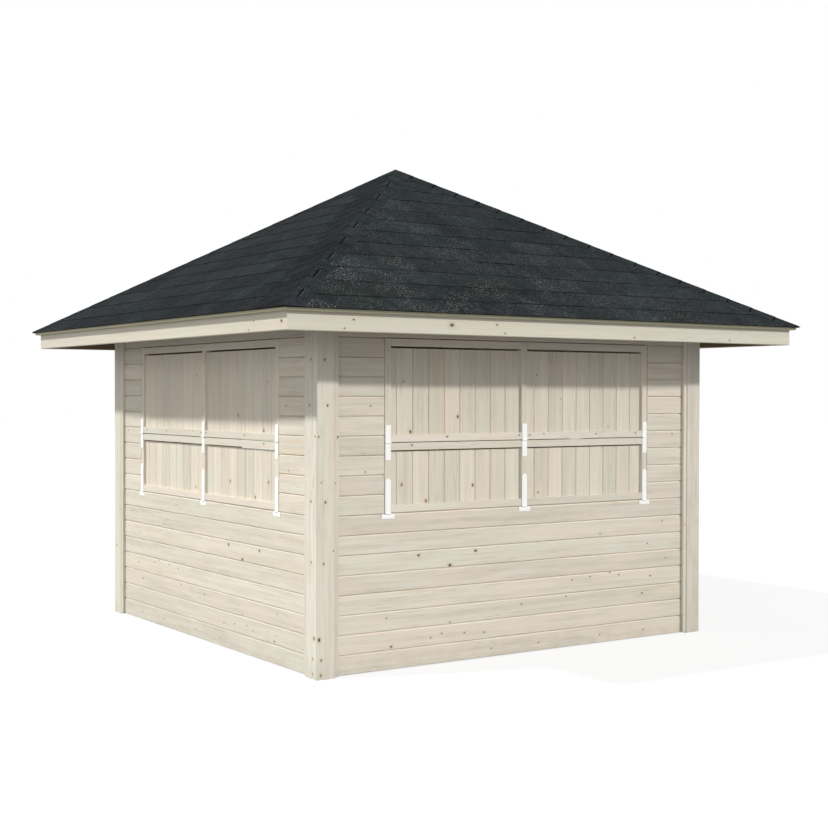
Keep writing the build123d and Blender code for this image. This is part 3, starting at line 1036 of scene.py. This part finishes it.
def hip_caps(side, number):
    """This slope's half of the caps on both its hips. The two halves of a cap share their draws."""
    caps = Cover(seeds["cap"])
    rng = caps.rng
    shade = painted_slope_shade[side]
    for hand in (-1, 1):
        rng.seed(seeds["cap"] + (number + (1 if hand > 0 else 0)) % len(turns))

        def spot(s, w):
            """A point s up the hip and w away from it, on this slope."""
            return (hand * (cover_reach - (s * run + w) / hip_stretch), (s - w * run) / hip_stretch)

        def patch(corners, lift, tone, **more):
            """A tab with its corners given up the hip and away from it."""
            outline = [spot(*corner) for corner in corners]
            caps.tab(facing_up(on_triangle(outline)), lift, tone, **more)

        near_left = side == "left" and hand > 0
        half = cap_wide if near_left else cap_half
        for step in range(math.ceil(hip_length / cap_exposure)):
            low = step * cap_exposure + rng.uniform(-cap_jitter, cap_jitter) - (0 if step else cap_overhang)
            high = (step + 1) * cap_exposure + cap_lap
            skew = rng.uniform(-cap_jitter, cap_jitter)
            bright = (shade - cap_darker if near_left else shade) + cap_range * rng.random()
            tone = (bright, rng.random(), 0.0)

            def lift(x, d):
                up, away = from_hip(x, d)
                share = min(1.0, max(0.0, (up - low) / (high - low)))
                under = cap_lift - cap_head_drop * share - cap_edge_drop * away / half
                return under, under + cap_thick * (1 - cap_thin_share * away / half)

            def over(x, d):
                top = lift(x, d)[1]
                return top, top + shadow_strip_thick

            patch([(low, 0), (low + skew, half), (high, half), (high, 0)], lift, tone, hip=True,
                  foot=lambda x, d: from_hip(x, d)[0] < low + cap_rim)
            foot = max(low, shadow_strip_least)
            end = foot + shadow_strip_length
            # Every other cap on this hip: a black strip along the hip, painted shadow of a slit, and a pale
            # strip beside it
            if hand < 0 and step % 2 == 1 and foot + 2 * shadow_strip_length < hip_length:
                edge = shadow_strip_start + shadow_strip_width
                strips = ((shadow_strip_start, edge, shadow_strip_tone), (edge + pale_strip_near, edge + pale_strip_far, pale_strip_tone))
                for inner, outer, look in strips:
                    patch([(foot, inner), (foot, outer), (end, outer), (end, inner)], over, look)
            # On the other hip: a black strip along each cap's lower edge, painted shadow
            if hand > 0 and not near_left:
                reach = shadow_strip_reach_share * half
                patch([(foot, shadow_strip_inset), (foot + skew, reach), (foot + skew + shadow_strip_width, reach),
                       (foot + shadow_strip_width, shadow_strip_inset)], over, shadow_strip_tone)
    caps.object(side + "_hip_caps", side)


for number, side in enumerate(turns):
    slope_tabs(side, number)
    hip_caps(side, number)


# Studio: floor, light and camera

floor_half, floor_grey, floor_glow = 60.0, (0.25, 0.25, 0.25), 0.75
ambient = 0.50
sharp_spread, soft_spread = 3.2, 40.0
camera_place = (-5.3981, -8.3029, 1.6145)
camera_turns = (56.1922, -0.8190, 0.1040)
picture, focal_pixels = 828, 1393.99


def studio_white(name, colour, strength):
    """A pale floor that the camera sees as white where no shadow falls."""
    n = Nodes(bpy.data.materials.new(name))
    diffuse = n.add("BsdfDiffuse", colour)
    glow = n.add("Emission", Strength=n.math("MULTIPLY", n.seen(), strength))
    n.add("OutputMaterial", n.add("AddShader", diffuse.outputs[0], glow.outputs[0]).outputs[0])
    return n.owner


floor_corners = [(x * floor_half, y * floor_half, 0.0) for x, y in ((-1, -1), (1, -1), (1, 1), (-1, 1))]
floor_mesh = bpy.data.meshes.new("studio_floor")
floor_mesh.from_pydata(floor_corners, [], [(0, 1, 2, 3)])
floor_mesh.materials.append(studio_white("studio_floor", floor_grey, floor_glow))
floor = bpy.data.objects.new("studio_floor", floor_mesh)
scene.collection.objects.link(floor)

# The sky looks white, and lights the object less than it looks
n = Nodes(bpy.data.worlds.new("studio"))
scene.world = n.owner
strength = n.math("ADD", n.math("MULTIPLY", n.seen(), 1.0 - ambient), ambient)
n.add("OutputWorld", n.add("Background", (1, 1, 1), strength).outputs[0])


def sun(name, toward, strength, spread):
    """A distant lamp that shines from the given direction, as wide as its spread in degrees."""
    light = bpy.data.lights.new(name, "SUN")
    light.energy = strength
    light.angle = math.radians(spread)
    lamp = bpy.data.objects.new(name, light)
    lamp.rotation_euler = Vector(toward).to_track_quat("Z", "Y").to_euler()
    scene.collection.objects.link(lamp)


sun("front_lamp", (1.2, -1.535, 1.0), 2.09, sharp_spread)
sun("left_lamp", (-0.875, 0.297, 1.0), 2.82, sharp_spread)
sun("low_fill", (-1.0, -0.5, 0.12), 0.60, soft_spread)

yaw, tilt, roll = (math.radians(a) for a in camera_turns)
ahead = Vector((math.cos(tilt) * math.cos(yaw), math.cos(tilt) * math.sin(yaw), math.sin(tilt)))
level_right = Vector((math.sin(yaw), -math.cos(yaw), 0.0))
level_up = level_right.cross(ahead)
right = math.cos(roll) * level_right + math.sin(roll) * level_up
up = -math.sin(roll) * level_right + math.cos(roll) * level_up
camera = bpy.data.cameras.new("camera")
camera.sensor_width = 36.0
camera.lens = focal_pixels / picture * camera.sensor_width
camera_rig = bpy.data.objects.new("camera", camera)
camera_rig.matrix_world = axes(right, up, -ahead, camera_place)
scene.collection.objects.link(camera_rig)
scene.camera = camera_rig
scene.view_settings.view_transform = "Standard"
